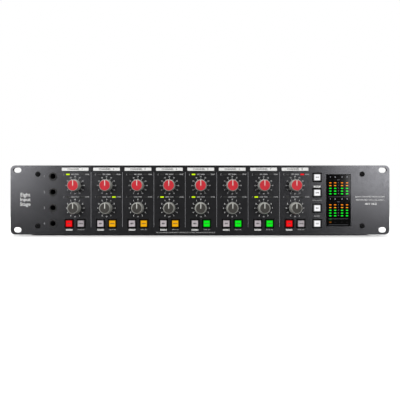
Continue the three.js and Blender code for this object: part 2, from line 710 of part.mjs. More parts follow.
const capShape = buttonCap();
const PHANTOM_ON = [1, 8];
const DRIVE_AMBER = [2, 3, 4];
const DRIVE_GREEN = [5, 6, 7];
const driveFinish = (n) => {
  if (DRIVE_AMBER.includes(n)) return FINISH.amberCap;
  return DRIVE_GREEN.includes(n) ? FINISH.greenCap : FINISH.cap;
};
channelXs.forEach((x, i) => {
  const n = i + 1;
  const phantom = PHANTOM_ON.includes(n) ? FINISH.redCap : FINISH.cap;
  add(`phantom_button_${n}`, capShape, phantom, x - BUTTON_OFFSET, FRONT_Y, BUTTON_ROW_Z);
  add(`drive_button_${n}`, capShape, driveFinish(n), x + BUTTON_OFFSET, FRONT_Y, BUTTON_ROW_Z);
});
functionZs.forEach((z, i) => {
  add(`function_button_${i + 1}`, capShape, FINISH.whiteCap, FUNCTION_X, FRONT_Y, z);
});

const rockerPivotY = INLET_FACE_Y - ROCKER.pivotInset;
const rocker = add('power_rocker', powerRocker(), FINISH.black, ROCKER.x, rockerPivotY, INLET.z);
rocker.rotation.x = THREE.MathUtils.degToRad(ROCKER.tilt);

export default preamp;
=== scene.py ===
import math

import bmesh
import bpy
from mathutils import Matrix, Vector

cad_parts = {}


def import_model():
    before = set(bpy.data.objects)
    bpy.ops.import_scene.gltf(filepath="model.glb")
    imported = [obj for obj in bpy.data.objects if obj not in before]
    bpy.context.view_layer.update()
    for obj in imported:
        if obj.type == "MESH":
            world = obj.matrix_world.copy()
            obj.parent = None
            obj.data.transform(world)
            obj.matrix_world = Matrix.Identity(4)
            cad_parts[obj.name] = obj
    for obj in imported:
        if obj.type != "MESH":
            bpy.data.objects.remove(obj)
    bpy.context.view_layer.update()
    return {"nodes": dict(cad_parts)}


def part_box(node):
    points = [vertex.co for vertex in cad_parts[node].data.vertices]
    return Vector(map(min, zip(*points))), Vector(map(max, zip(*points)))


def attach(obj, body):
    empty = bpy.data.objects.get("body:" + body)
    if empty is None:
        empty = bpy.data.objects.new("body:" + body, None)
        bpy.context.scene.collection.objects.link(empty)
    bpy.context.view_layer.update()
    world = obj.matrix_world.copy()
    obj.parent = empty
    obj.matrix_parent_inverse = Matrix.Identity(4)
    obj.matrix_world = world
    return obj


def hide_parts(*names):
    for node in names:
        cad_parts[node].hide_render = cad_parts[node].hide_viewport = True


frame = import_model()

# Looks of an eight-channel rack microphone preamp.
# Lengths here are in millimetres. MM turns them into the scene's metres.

MM = 0.001


# ---------------------------------------------------------------- places, from the frame


def corners(node):
    low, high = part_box(node)
    return low / MM, high / MM


def middle(node):
    low, high = corners(node)
    return (low + high) / 2


PANEL_LOW, PANEL_HIGH = corners("front_panel")
FRONT = PANEL_LOW.y
MID_Z = (PANEL_LOW.z + PANEL_HIGH.z) / 2
REAR = corners("rear_panel")[1].y
COVER_LOW, COVER_HIGH = corners("top_cover")
TRAY_LOW = corners("chassis_tray")[0]
INLET_FACE = corners("mains_inlet")[1].y

CHANNELS = range(1, 9)
CHANNEL_X = {n: middle(f"gain_knob_{n}").x for n in CHANNELS}
CHANNEL_PITCH = CHANNEL_X[2] - CHANNEL_X[1]
GAIN_Z = middle("gain_knob_1").z
TRIM_Z = middle("trim_knob_1").z
FUNCTION_X = middle("function_button_1").x
CAP_PROUD = FRONT - corners("phantom_button_1")[0].y  # how far a button stands out
LAMP_OFFSET_X = 9.3  # from a dial's middle
LAMP_ABOVE_DIAL = 14.2

# What is lit.
PHANTOM_ON = (1, 8)
DRIVE_AMBER = (2, 3, 4)
DRIVE_GREEN = (5, 6, 7)
LAMPS_ON = {
    (1, "gain", "left"): "lamp_lime",
    (2, "trim", "right"): "lamp_lime",
    (4, "trim", "left"): "lamp_lime",
    (5, "gain", "left"): "lamp_lime",
    (5, "trim", "left"): "lamp_lime",
    (7, "trim", "left"): "lamp_lime",
    (8, "gain", "right"): "lamp_red",
}


# ---------------------------------------------------------------- materials


def new_material(name):
    material = bpy.data.materials.new(name)
    material.use_nodes = True
    return material, material.node_tree, material.node_tree.nodes["Principled BSDF"]


def link(tree, source, target):
    tree.links.new(source, target)


def noise(tree, coords, scale, stretch=(1, 1, 1)):
    """A noise texture over the object, with scale in features per metre."""
    mapping = tree.nodes.new("ShaderNodeMapping")
    mapping.inputs["Scale"].default_value = stretch
    link(tree, coords, mapping.inputs["Vector"])
    texture = tree.nodes.new("ShaderNodeTexNoise")
    texture.inputs["Scale"].default_value = scale
    texture.inputs["Detail"].default_value = 4
    link(tree, mapping.outputs["Vector"], texture.inputs["Vector"])
    return texture.outputs["Fac"]


def ranged(tree, value, low, high, source=(0.35, 0.65)):
    """Maps a value from the source range to low and high, and stops at both ends."""
    node = tree.nodes.new("ShaderNodeMapRange")
    node.inputs["From Min"].default_value = source[0]
    node.inputs["From Max"].default_value = source[1]
    node.inputs["To Min"].default_value = low
    node.inputs["To Max"].default_value = high
    link(tree, value, node.inputs["Value"])
    return node.outputs["Result"]


def mixed(tree, factor, first, second):
    """A colour between first and second, each a colour or a socket."""
    node = tree.nodes.new("ShaderNodeMix")
    node.data_type = "RGBA"
    link(tree, factor, node.inputs["Factor"])
    for socket, value in ((node.inputs["A"], first), (node.inputs["B"], second)):
        if isinstance(value, tuple):
            socket.default_value = (*value, 1)
        else:
            link(tree, value, socket)
    return node.outputs["Result"]


def shade(colour, share):
    return tuple(min(c * share, 1) for c in colour)


def finish(
    name,
    colour,
    roughness,
    metallic=0.0,
    mottle=0.12,
    mottle_scale=90,
    rough_spread=0.06,
    grain=0.0,
    grain_scale=3000,
    glow=None,
    glow_strength=0.0,
    specular=0.5,
):
    """A surface whose colour and roughness wander, with a fine grain (its depth in mm) in its normal."""
    material, tree, shader = new_material(name)
    coords = tree.nodes.new("ShaderNodeTexCoord").outputs["Object"]
    broad = noise(tree, coords, mottle_scale)
    low, high = shade(colour, 1 - mottle), shade(colour, 1 + mottle)
    link(tree, mixed(tree, ranged(tree, broad, 0, 1), low, high), shader.inputs["Base Color"])
    fine = noise(tree, coords, mottle_scale * 7)
    spread = ranged(tree, fine, max(roughness - rough_spread, 0.02), roughness + rough_spread)
    link(tree, spread, shader.inputs["Roughness"])
    shader.inputs["Metallic"].default_value = metallic
    shader.inputs["Specular IOR Level"].default_value = specular
    if grain:
        bump = tree.nodes.new("ShaderNodeBump")
        bump.inputs["Strength"].default_value = 0.5
        bump.inputs["Distance"].default_value = grain * MM
        link(tree, noise(tree, coords, grain_scale), bump.inputs["Height"])
        link(tree, bump.outputs["Normal"], shader.inputs["Normal"])
    if glow:
        shader.inputs["Emission Color"].default_value = (*glow, 1)
        shader.inputs["Emission Strength"].default_value = glow_strength
    return material


CAP_SHADED_RIM = (0.405, 0.475)  # where a cap's rim starts to darken, as painted shade and a fading glow, and where it ends, as shares of its width


def rim_fade(tree, coords):
    """1 over the middle of a square cap and 0 at its rim, from its generated coordinates."""
    offset = tree.nodes.new("ShaderNodeVectorMath")
    offset.operation = "SUBTRACT"
    offset.inputs[1].default_value = (0.5, 0.5, 0.5)
    link(tree, coords.outputs["Generated"], offset.inputs[0])
    size = tree.nodes.new("ShaderNodeVectorMath")
    size.operation = "ABSOLUTE"
    link(tree, offset.outputs["Vector"], size.inputs[0])
    split = tree.nodes.new("ShaderNodeSeparateXYZ")
    link(tree, size.outputs["Vector"], split.inputs["Vector"])
    farther = tree.nodes.new("ShaderNodeMath")
    farther.operation = "MAXIMUM"
    link(tree, split.outputs["X"], farther.inputs[0])
    link(tree, split.outputs["Z"], farther.inputs[1])
    return ranged(tree, farther.outputs["Value"], 1, 0, CAP_SHADED_RIM)


def cap_material(name, colour, strength=0.0, body=0.14, rim=0.12):
    """A translucent square cap. Any lamp is behind its middle, so its glow fades towards the rim; its base
    colour is darker at the rim as well, as painted shade.
    """
    material, tree, shader = new_material(name)
    coords = tree.nodes.new("ShaderNodeTexCoord")
    fade = rim_fade(tree, coords)
    speckle = noise(tree, coords.outputs["Object"], 900)
    low, high = shade(colour, body * 0.92), shade(colour, body * 1.08)
    middle_colour = mixed(tree, ranged(tree, speckle, 0, 1), low, high)
    # painted shade: the base colour at the rim is darkened to rim times the body share
    base = mixed(tree, fade, shade(colour, body * rim), middle_colour)
    link(tree, base, shader.inputs["Base Color"])
    link(tree, ranged(tree, speckle, 0.35, 0.45), shader.inputs["Roughness"])
    shader.inputs["Specular IOR Level"].default_value = 0.05
    if strength:
        shader.inputs["Emission Color"].default_value = (*colour, 1)
        glow = ranged(tree, fade, strength * rim, strength, (0, 1))
        link(tree, glow, shader.inputs["Emission Strength"])
    return material


def lamp(name, colour, strength):
    """Small lit plastic, equally bright all over."""
    return finish(
        name, shade(colour, 0.08), 0.4, mottle=0.1, mottle_scale=900, rough_spread=0.05,
        glow=colour, glow_strength=strength, specular=0.05,
    )


def behind_glass(name, colour, strength=0.0, base=0.05):
    """What shows in the meter window: as glossy as its acrylic, and glowing where strength is given. The
    segments glow as lamps; the meter's print glows as painted light.
    """
    return finish(
        name, shade(colour, base), 0.07, mottle=0.1, mottle_scale=120, rough_spread=0.02,
        glow=colour if strength else None, glow_strength=strength, specular=0.1,
    )


SOLDER_MASK = ((0.012, 0.07, 0.03), (0.02, 0.11, 0.045))
BOARD_PARTS = ((0.012, 0.012, 0.013), (0.32, 0.33, 0.34))


def board_material(name, board_top):
    """Solder mask up to a height, and dark or pale parts above it."""
    material, tree, shader = new_material(name)
    coords = tree.nodes.new("ShaderNodeTexCoord").outputs["Object"]
    split = tree.nodes.new("ShaderNodeSeparateXYZ")
    link(tree, coords, split.inputs["Vector"])
    above = ranged(tree, split.outputs["Z"], 0, 1, (board_top * MM, (board_top + 0.05) * MM))
    cells = tree.nodes.new("ShaderNodeTexVoronoi")
    cells.inputs["Scale"].default_value = 45
    link(tree, coords, cells.inputs["Vector"])
    tone = tree.nodes.new("ShaderNodeSeparateColor")
    link(tree, cells.outputs["Color"], tone.inputs["Color"])
    parts = mixed(tree, ranged(tree, tone.outputs["Red"], 0, 1, (0.55, 0.6)), *BOARD_PARTS)
    tracks = noise(tree, coords, 260, stretch=(1, 3, 1))
    mask = mixed(tree, ranged(tree, tracks, 0, 1, (0.48, 0.52)), *SOLDER_MASK)
    link(tree, mixed(tree, above, mask, parts), shader.inputs["Base Color"])
    link(tree, ranged(tree, tracks, 0.3, 0.5), shader.inputs["Roughness"])
    return material


EDGE_ROUGHNESS = 0.75


def anodised(name, colour, edge_shade_colour):
    """Metal on the faces. Edges and the walls of holes are duller, and their near-black colour is painted
    shade.
    """
    material = finish(
        name, colour, 0.242, metallic=1.0, mottle=0.04, mottle_scale=40, rough_spread=0.02,
        grain=0.004, grain_scale=5200,
    )
    tree = material.node_tree
    shader = tree.nodes["Principled BSDF"]
    split = tree.nodes.new("ShaderNodeSeparateXYZ")
    link(tree, tree.nodes.new("ShaderNodeNewGeometry").outputs["Normal"], split.inputs["Vector"])
    facing = tree.nodes.new("ShaderNodeMath")
    facing.operation = "ABSOLUTE"
    link(tree, split.outputs["Y"], facing.inputs[0])
    flat = ranged(tree, facing.outputs["Value"], 0, 1, (0.35, 0.75))
    face_colour = shader.inputs["Base Color"].links[0].from_socket
    # painted shade: faces that don't look along Y take the near-black edge colour
    link(tree, mixed(tree, flat, edge_shade_colour, face_colour), shader.inputs["Base Color"])
    link(tree, flat, shader.inputs["Metallic"])
    roughness = ranged(tree, flat, EDGE_ROUGHNESS, 0, (0, 1))
    link(tree, shader.inputs["Roughness"].links[0].from_socket, roughness.node.inputs["To Max"])
    link(tree, roughness, shader.inputs["Roughness"])
    shader.inputs["Specular IOR Level"].default_value = 0.1
    return material


ANODISED = (0.044, 0.044, 0.047)
# painted shade on the panel's edges and the walls of its holes
EDGE_PAINTED_SHADE = (0.004, 0.004, 0.0045)
POWDER_BLACK = (0.016, 0.016, 0.017)
SEGMENT_GLOW = 1.15

FINISHES = {
    "panel": anodised("dark_anodised", ANODISED, EDGE_PAINTED_SHADE),
    "sheet": finish(
        "black_powder_coat", POWDER_BLACK, 0.58,
        mottle=0.12, mottle_scale=70, grain=0.06, grain_scale=1900, specular=0.35,
    ),
    "screw": finish(
        "black_oxide", (0.004, 0.004, 0.0043), 0.4,
        mottle=0.2, mottle_scale=300, rough_spread=0.1, grain=0.02, specular=0.09,
    ),
    "steel": finish(
        "nickel_plate", (0.55, 0.54, 0.52), 0.26,
        metallic=1.0, mottle=0.1, mottle_scale=150, rough_spread=0.08, grain=0.01,
    ),
    "brass": finish("gold_contact", (0.75, 0.52, 0.2), 0.25, metallic=1.0, mottle=0.08, mottle_scale=200),
    "black": finish(
        "black_nylon", (0.004, 0.004, 0.0042), 0.42,
        mottle=0.2, mottle_scale=200, rough_spread=0.08, grain=0.03, specular=0.3,
    ),
    "frame": finish(
        "button_frame", (0.003, 0.003, 0.0032), 0.5,
        mottle=0.2, mottle_scale=200, rough_spread=0.08, grain=0.03, specular=0.05,
    ),
    "knob_body": finish(
        "knob_grey", (0.28, 0.28, 0.26), 0.38, mottle=0.06, mottle_scale=160, grain=0.015, specular=0.3,
    ),
    "cap_red": finish(
        "knob_cap_red", (0.44, 0.018, 0.028), 0.45,
        mottle=0.08, mottle_scale=220, grain=0.015, specular=0.15,
    ),
    "cap_dark": finish(
        "knob_cap_dark", (0.034, 0.032, 0.028), 0.45,
        mottle=0.1, mottle_scale=220, grain=0.015, specular=0.2,
    ),
    "pointer": finish(
        "pointer_white", (0.6, 0.6, 0.57), 0.45, mottle=0.04, mottle_scale=400, rough_spread=0.05,
    ),
    "ink_white": finish("ink_white", (0.62, 0.62, 0.61), 0.55, mottle=0.05, mottle_scale=500),
    "ink_grey": finish("ink_grey", (0.31, 0.31, 0.31), 0.55, mottle=0.06, mottle_scale=500),
    "ink_faint": finish("ink_faint", (0.18, 0.18, 0.19), 0.55, mottle=0.06, mottle_scale=500),
    # dark print, and also painted shade in the holes and recesses of rear sockets and screws
    "dark_ink_and_hole_shade": finish("dark_ink_and_hole_shade", (0.015, 0.015, 0.016), 0.5, mottle=0.1, mottle_scale=500),
    # painted shade: the unlit cap's rim is darkened to a fifth of its colour
    "button_unlit": cap_material("button_unlit", (0.42, 0.38, 0.4), body=1.0, rim=0.2),
    "button_red": cap_material("button_lit_red", (1.0, 0.002, 0.005), 0.82),
    "button_amber": cap_material("button_lit_amber", (1.0, 0.47, 0.002), 0.77),
    "button_green": cap_material("button_lit_green", (0.001, 0.92, 0.01), 0.82),
    "button_white": cap_material("button_lit_white", (0.95, 0.95, 0.97), 0.82),
    "lamp_off": finish(
        "lamp_off", (0.012, 0.012, 0.011), 0.3, mottle=0.1, mottle_scale=300, rough_spread=0.05,
    ),
    "lamp_lime": lamp("lamp_lime", (0.66, 0.95, 0.002), 0.95),
    "lamp_red": lamp("lamp_red", (1.0, 0.002, 0.01), 0.95),
    "segment_off": behind_glass("segment_off", (0.006, 0.006, 0.0062), base=1.0),
    "segment_green": behind_glass("segment_green", (0.004, 1.0, 0.025), SEGMENT_GLOW),
    "segment_amber": behind_glass("segment_amber", (1.0, 0.37, 0.008), SEGMENT_GLOW),
    "segment_orange": behind_glass("segment_orange", (1.0, 0.26, 0.005), SEGMENT_GLOW),
    "segment_dim_green": behind_glass("segment_dim_green", (0.01, 0.6, 0.04), 0.1),
    "segment_dim_orange": behind_glass("segment_dim_orange", (0.9, 0.25, 0.01), 0.16),
    # painted light: the meter's print glows, though it is no lamp
    "meter_ink_painted_glow": behind_glass("meter_ink_painted_glow", (0.8, 0.82, 0.9), 0.58),
    "meter_ink_painted_glow_dim": behind_glass("meter_ink_painted_glow_dim", (0.5, 0.5, 0.56), 0.42),
    "pane": behind_glass("smoked_acrylic", (0.0006, 0.0006, 0.0007), base=1.0),
    "cable": finish("ribbon_grey", (0.3, 0.3, 0.31), 0.5, mottle=0.08, mottle_scale=100),
}


# ---------------------------------------------------------------- outlines and solids

ROUND = 48  # points in a round outline, and in a rounded rectangle that is joined to one


def circle(radius, points=ROUND):
    step = 2 * math.pi / points
    return [(radius * math.cos(i * step), radius * math.sin(i * step)) for i in range(points)]


def rounded(width, height, radius, points=ROUND):
    """A rectangle with round corners, anticlockwise from its right side."""
    outline = []
    share = points // 4
    signs = ((1, 1), (-1, 1), (-1, -1), (1, -1))
    for quarter, (sx, sz) in enumerate(signs):
        for i in range(share):
            angle = math.pi / 2 * (quarter + i / (share - 1))
            x = sx * (width / 2 - radius) + radius * math.cos(angle)
            z = sz * (height / 2 - radius) + radius * math.sin(angle)
            outline.append((x, z))
    return outline


def hexagon(across_flats, points=ROUND):
    outline = []
    for i in range(points):
        angle = 2 * math.pi * i / points
        from_flat = (angle + math.pi / 6) % (math.pi / 3) - math.pi / 6
        radius = across_flats / 2 / math.cos(from_flat)
        outline.append((radius * math.cos(angle), radius * math.sin(angle)))
    return outline


def at_depth(outline, y):
    return [(x, y, z) for x, z in outline]


def loft(loops, closed=False):
    """Skin over loops of equal length, capped at both ends unless the last loop joins the first."""
    count = len(loops[0])
    verts = [p for one in loops for p in one]
    faces = []
    for i in range(len(loops) if closed else len(loops) - 1):
        a, b = i * count, (i + 1) % len(loops) * count
        faces += [(a + k, a + (k + 1) % count, b + (k + 1) % count, b + k) for k in range(count)]
    if not closed:
        faces += [tuple(range(count)), tuple(range((len(loops) - 1) * count, len(loops) * count))]
    return verts, faces


def turned(profile, points=ROUND, closed=False):
    """A solid of revolution about Y from (radius, y) pairs."""
    return loft([at_depth(circle(r, points), y) for r, y in profile], closed)


def slab(outline_at, back, face, edge=0.0):
    """A plate from back to face (outwards is -Y). outline_at(inset) is its outline, moved in by inset."""
    loops = [at_depth(outline_at(0), back)]
    if edge:
        loops += [at_depth(outline_at(0), face + edge), at_depth(outline_at(edge), face)]
    else:
        loops.append(at_depth(outline_at(0), face))
    return loft(loops)


def plate(width, height, radius, back, face, edge=0.0, points=16):
    def outline_at(inset):
        return rounded(width - 2 * inset, height - 2 * inset, max(radius - inset, 0.02), points)

    return slab(outline_at, back, face, edge)


def bar(width, length, back, face):
    """A plain thin bar, centred, along Z."""
    x, z = width / 2, length / 2
    outline = [(-x, -z), (x, -z), (x, z), (-x, z)]
    return loft([at_depth(outline, back), at_depth(outline, face)])


class Shape:
    """Vertices and faces in millimetres, each face with the name of its finish."""

    def __init__(self):
        self.verts = []
        self.faces = []
        self.finishes = []

    def add(self, part, finish_name, place=None):
        verts, faces = part
        base = len(self.verts)
        self.verts += [place @ Vector(v) if place else Vector(v) for v in verts]
        self.faces += [tuple(base + i for i in face) for face in faces]
        self.finishes += [finish_name] * len(faces)


CREASE = 32  # degrees. Sharper edges aren't shaded smooth


def piece(name, shape, body="root", stands_for=()):
    """Makes a mesh object of a shape, riding on a body."""
    mesh = bpy.data.meshes.new(name)
    mesh.from_pydata([v * MM for v in shape.verts], [], shape.faces)
    names = list(dict.fromkeys(shape.finishes))
    for finish_name in names:
        mesh.materials.append(FINISHES[finish_name])
    mesh.polygons.foreach_set("material_index", [names.index(f) for f in shape.finishes])
    bm = bmesh.new()
    bm.from_mesh(mesh)
    bmesh.ops.recalc_face_normals(bm, faces=bm.faces)
    for face in bm.faces:
        face.smooth = True
    for edge in bm.edges:
        edge.smooth = edge.calc_face_angle(0) < math.radians(CREASE)
    bm.to_mesh(mesh)
    bm.free()
    made = bpy.data.objects.new(name, mesh)
    bpy.context.scene.collection.objects.link(made)
    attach(made, body)
    if stands_for:
        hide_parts(*stands_for)


# ---------------------------------------------------------------- places on each face

SIDES = {
    "front": Matrix.Identity(4),
    "rear": Matrix.Rotation(math.pi, 4, "Z"),
    "top": Matrix.Rotation(-math.pi / 2, 4, "X"),
    "under": Matrix.Rotation(math.pi / 2, 4, "X"),
    "left": Matrix.Rotation(-math.pi / 2, 4, "Z"),
    "right": Matrix.Rotation(math.pi / 2, 4, "Z"),
}


def on(side, x, y, z):
    """Turns a part that faces -Y so that it faces outwards on a side, and puts it at a point."""
    return Matrix.Translation((x, y, z)) @ SIDES[side]


def at_front(x, z):
    return on("front", x, FRONT, z)


def at_rear(x, z):
    return on("rear", x, REAR, z)


# ---------------------------------------------------------------- printed legends

INK = 0.04  # thickness
LETTER_SHARE = 0.7  # height of a capital over the font's size
_letters = {}


def lettering(words, height, weight):
    """Words as thin flat solids that face -Y, centred on the origin."""
    key = (words, height, weight)
    if key not in _letters:
        curve = bpy.data.curves.new("lettering", "FONT")
        curve.body = words
        curve.size = height / LETTER_SHARE
        curve.align_x = "CENTER"
        curve.align_y = "CENTER"
        curve.resolution_u = 2
        curve.offset = weight * height
        curve.extrude = INK / 2
        made = bpy.data.objects.new("lettering", curve)
        bpy.context.scene.collection.objects.link(made)
        graph = bpy.context.evaluated_depsgraph_get()
        mesh = bpy.data.meshes.new_from_object(made.evaluated_get(graph))
        verts = [(v.co.x, -v.co.z, v.co.y) for v in mesh.vertices]
        faces = [tuple(p.vertices) for p in mesh.polygons]
        _letters[key] = (verts, faces)
        bpy.data.objects.remove(made)
        bpy.data.curves.remove(curve)
        bpy.data.meshes.remove(mesh)
    return _letters[key]


def around(x, z, radius, degrees, spin=True):
    """A place on a dial round (x, z), clockwise from its top. A spun part points at the middle."""
    angle = math.radians(degrees)
    place = at_front(x + radius * math.sin(angle), z + radius * math.cos(angle))
    return place @ Matrix.Rotation(angle, 4, "Y") if spin else place


NAME_STRIP = {"width": 34, "height": 3.95, "z": 39.2}
LAMP_ROWS = {"gain": GAIN_Z + LAMP_ABOVE_DIAL, "trim": TRIM_Z + LAMP_ABOVE_DIAL}
DIAL_STEPS = range(-150, 151, 30)
DIVIDER = {"width": 0.45, "top": 35.5, "bottom": -34.5, "shift": 0.25}
UNDER_BUTTON = {"width": 8.3, "height": 1.95, "z": -37.95}
INPUT_LABEL = {"width": 8.4, "height": 2.3, "z": 17.1}
BESIDE_JACK = 11.0
FRONT_TEXT = (  # words, height of a capital, finish, x, height over the panel's middle, weight
    ("Eight", 4.5, "ink_white", -222.5, 6.5, 0.01),
    ("Input", 4.5, "ink_white", -222.5, 0.5, 0.01),
    ("Stage", 4.5, "ink_white", -222.5, -5.5, 0.01),
    ("EIGHT-CHANNEL MICROPHONE", 1.8, "ink_white", 216.5, 4.1, 0.0),
    ("PREAMPLIFIER WITH LINE INPUTS", 1.7, "ink_white", 216.5, 0.0, 0.0),
    ("48 V  HI-Z", 2.4, "ink_white", 217.5, -5.1, 0.05),
    ("MIC BALANCED INSTRUMENT LINE INPUTS OUTPUT SIGNAL CLOCK SOURCE", 1.5, "ink_grey", -18.5, -41.5, 0.01),
    ("METER SOURCE", 1.15, "ink_grey", FUNCTION_X, -0.5, 0.0),
    ("CLOCK", 1.6, "ink_grey", FUNCTION_X, -20.6, 0.03),
)


def stamp(shape, words, height, finish_name, place, weight=0.0):
    shape.add(lettering(words, height, weight), finish_name, place)


def patch(shape, width, height, finish_name, place):
    shape.add(plate(width, height, 0.15, 0.01, -INK / 2, 0, 8), finish_name, place)


def on_patch(place):
    """In front of a patch, for the words printed on it."""
    return place @ Matrix.Translation((0, -INK, 0))


def gain_dial(shape, x):
    for i, degrees in enumerate(DIAL_STEPS):
        shape.add(bar(0.5, 1.3, 0.01, -INK), "ink_grey", around(x, GAIN_Z, 8.9, degrees))
        stamp(shape, str(5 * i), 1.5, "ink_grey", around(x, GAIN_Z, 11.3, degrees, False), 0.04)
    stamp(shape, "dB", 1.4, "ink_grey", around(x, GAIN_Z, 10.4, 180, False), 0.05)


def trim_dial(shape, x):
    for i, degrees in enumerate(DIAL_STEPS):
        shape.add(bar(0.45, 1.0, 0.01, -INK), "ink_grey", around(x, TRIM_Z, 9.0, degrees))
        stamp(shape, str(abs(i - 5)), 1.6, "ink_white", around(x, TRIM_Z, 11.1, degrees, False), 0.05)
    stamp(shape, "dB", 1.6, "ink_grey", around(x, TRIM_Z, 10.8, 180, False), 0.05)


def channel_legends(shape, n):
    x = CHANNEL_X[n]
    strip = at_front(x, MID_Z + NAME_STRIP["z"])
    patch(shape, NAME_STRIP["width"], NAME_STRIP["height"], "ink_white", strip)
    stamp(shape, f"CHANNEL   {n}", 2.3, "dark_ink_and_hole_shade", on_patch(strip), 0.03)
    gain_dial(shape, x)
    trim_dial(shape, x)
    rows = (("gain", "MIC GAIN", "PEAK", "("), ("trim", "LINE TRIM", "OVER", "/"))
    for row, centre_word, right_word, left_word in rows:
        z = LAMP_ROWS[row]
        stamp(shape, centre_word, 1.6, "ink_grey", at_front(x, z), 0.04)
        stamp(shape, right_word, 1.5, "ink_grey", at_front(x + 15.4, z), 0.04)
        stamp(shape, left_word, 1.8, "ink_grey", at_front(x - 14.4, z), 0.03)
    left = middle(f"phantom_button_{n}").x
    right = middle(f"drive_button_{n}").x
    under = at_front(left, MID_Z + UNDER_BUTTON["z"])
    patch(shape, UNDER_BUTTON["width"], UNDER_BUTTON["height"], "ink_white", under)
    stamp(shape, "PHANTOM", 1.05, "dark_ink_and_hole_shade", on_patch(under), 0.02)
    stamp(shape, "DRIVE ON", 1.3, "ink_grey", at_front(right, MID_Z + UNDER_BUTTON["z"] + 0.2), 0.02)


def dividers(shape):
    height = DIVIDER["top"] - DIVIDER["bottom"]
    z = MID_Z + (DIVIDER["top"] + DIVIDER["bottom"]) / 2
    for n in CHANNELS[:-1]:
        x = CHANNEL_X[n] + CHANNEL_PITCH / 2 + DIVIDER["shift"]
        shape.add(bar(DIVIDER["width"], height, 0.01, -INK), "ink_faint", at_front(x, z))


def front_legends():
    shape = Shape()
    for n in CHANNELS:
        channel_legends(shape, n)
    dividers(shape)
    jack_x = middle("instrument_jack_1").x
    for n in range(1, 5):
        z = middle(f"instrument_jack_{n}").z
        stamp(shape, str(n), 2.9, "ink_faint", at_front(jack_x - BESIDE_JACK, z), 0.02)
    for words, height, finish_name, x, above, weight in FRONT_TEXT:
        stamp(shape, words, height, finish_name, at_front(x, MID_Z + above), weight)
    label = at_front(FUNCTION_X, MID_Z + INPUT_LABEL["z"])
    patch(shape, INPUT_LABEL["width"], INPUT_LABEL["height"], "ink_white", label)
    stamp(shape, "INPUT", 1.4, "dark_ink_and_hole_shade", on_patch(label), 0.02)
    piece("front_legends", shape)


# ---------------------------------------------------------------- knobs

FLUTES = 30
FLUTE_POINTS = 6  # in each flute
KNOB_KINDS = (("gain", "cap_red", 6.45), ("trim", "cap_dark", 6.0))  # name, cap's finish, cap's radius
KNOB_SKIRT = (  # radius, flute depth, distance in front of the panel
    (2.45, 0, -8.9),
    (2.45, 0, 0.8),
    (7.1, 0, 0.8),
    (7.7, 0, 1.2),
    (7.7, 0, 2.4),
    (7.5, 0, 2.8),
    (7.5, 0.34, 3.3),
    (7.25, 0.34, 13.0),
    (7.22, 0, 13.5),
    (7.22, 0, 14.1),
    (7.1, 0, 14.4),
)
KNOB_RIM = ((0.45, 15.6), (0.3, 15.74), (0, 15.74), (0, 15.3))  # radius over the cap's, distance
CAP_PROFILE = (  # inset, distance
    (0, 15.1),
    (0, 15.7),
    (0.22, 15.9),
    (0.7, 15.93),
    (3.2, 15.86),
    (5.6, 15.84),
)
POINTER = {"width": 0.85, "start": -0.4, "back": 15.6, "face": 15.99}


def fluted(radius, depth, points):
    """A circle with grooves of a depth round it."""
    outline = []
    for i in range(points):
        angle = 2 * math.pi * i / points
        r = radius - depth * (0.5 - 0.5 * math.cos(FLUTES * angle))
        outline.append((r * math.cos(angle), r * math.sin(angle)))
    return outline


def knob_shape(cap_finish, cap_radius):
    shape = Shape()
    points = FLUTES * FLUTE_POINTS
    skirt = KNOB_SKIRT + tuple((cap_radius + over, 0, out) for over, out in KNOB_RIM)
    shape.add(loft([at_depth(fluted(r, flute, points), -out) for r, flute, out in skirt]), "knob_body")
    shape.add(turned([(cap_radius - inset, -out) for inset, out in CAP_PROFILE], 64), cap_finish)
    half = POINTER["width"] / 2
    start = POINTER["start"]
    line = [(-half, start), (half, start), (half, cap_radius), (-half, cap_radius)]
    shape.add(loft([at_depth(line, -POINTER["back"]), at_depth(line, -POINTER["face"])]), "pointer")
    return shape


def knobs():
    for kind, cap_finish, cap_radius in KNOB_KINDS:
        for n in CHANNELS:
            node = f"{kind}_knob_{n}"
            at = middle(node)
            shape = Shape()
            local = knob_shape(cap_finish, cap_radius)
            shape.verts = [at_front(at.x, at.z) @ v for v in local.verts]
            shape.faces, shape.finishes = local.faces, local.finishes
            piece(f"{node}_look", shape, node, (node,))


# ---------------------------------------------------------------- push buttons

CAP_SIZE = corners("phantom_button_1")[1].x - corners("phantom_button_1")[0].x
CAP_STEPS = (  # inset, distance in front of the panel for a cap that stands out 1.8
    (0, -3.0),
    (0, 1.35),
    (0.14, 1.62),
    (0.42, 1.78),
    (0.8, 1.76),
    (1.6, 1.7),
    (3.9, 1.64),
)
CAP_STEPS_PROUD = 1.8
STEM = {"size": 4, "back": 7.3, "front": 2.9}


def button(node, finish_name, words, height):
    at = middle(node)
    shape = Shape()
    place = at_front(at.x, at.z)
    scale = CAP_PROUD / CAP_STEPS_PROUD
    loops = []
    for inset, out in CAP_STEPS:
        size = CAP_SIZE - 2 * inset
        loops.append(at_depth(rounded(size, size, max(0.9 - inset * 0.5, 0.2), 32), -out * scale))
    shape.add(loft(loops), finish_name, place)
    stem = plate(STEM["size"], STEM["size"], 0.2, STEM["back"], STEM["front"], 0, 8)
    shape.add(stem, "black", place)
    legend = place @ Matrix.Translation((0, -1.7 * scale, 0))
    stamp(shape, words, height, "dark_ink_and_hole_shade", legend, 0.06)
    piece(f"{node}_look", shape, node, (node,))


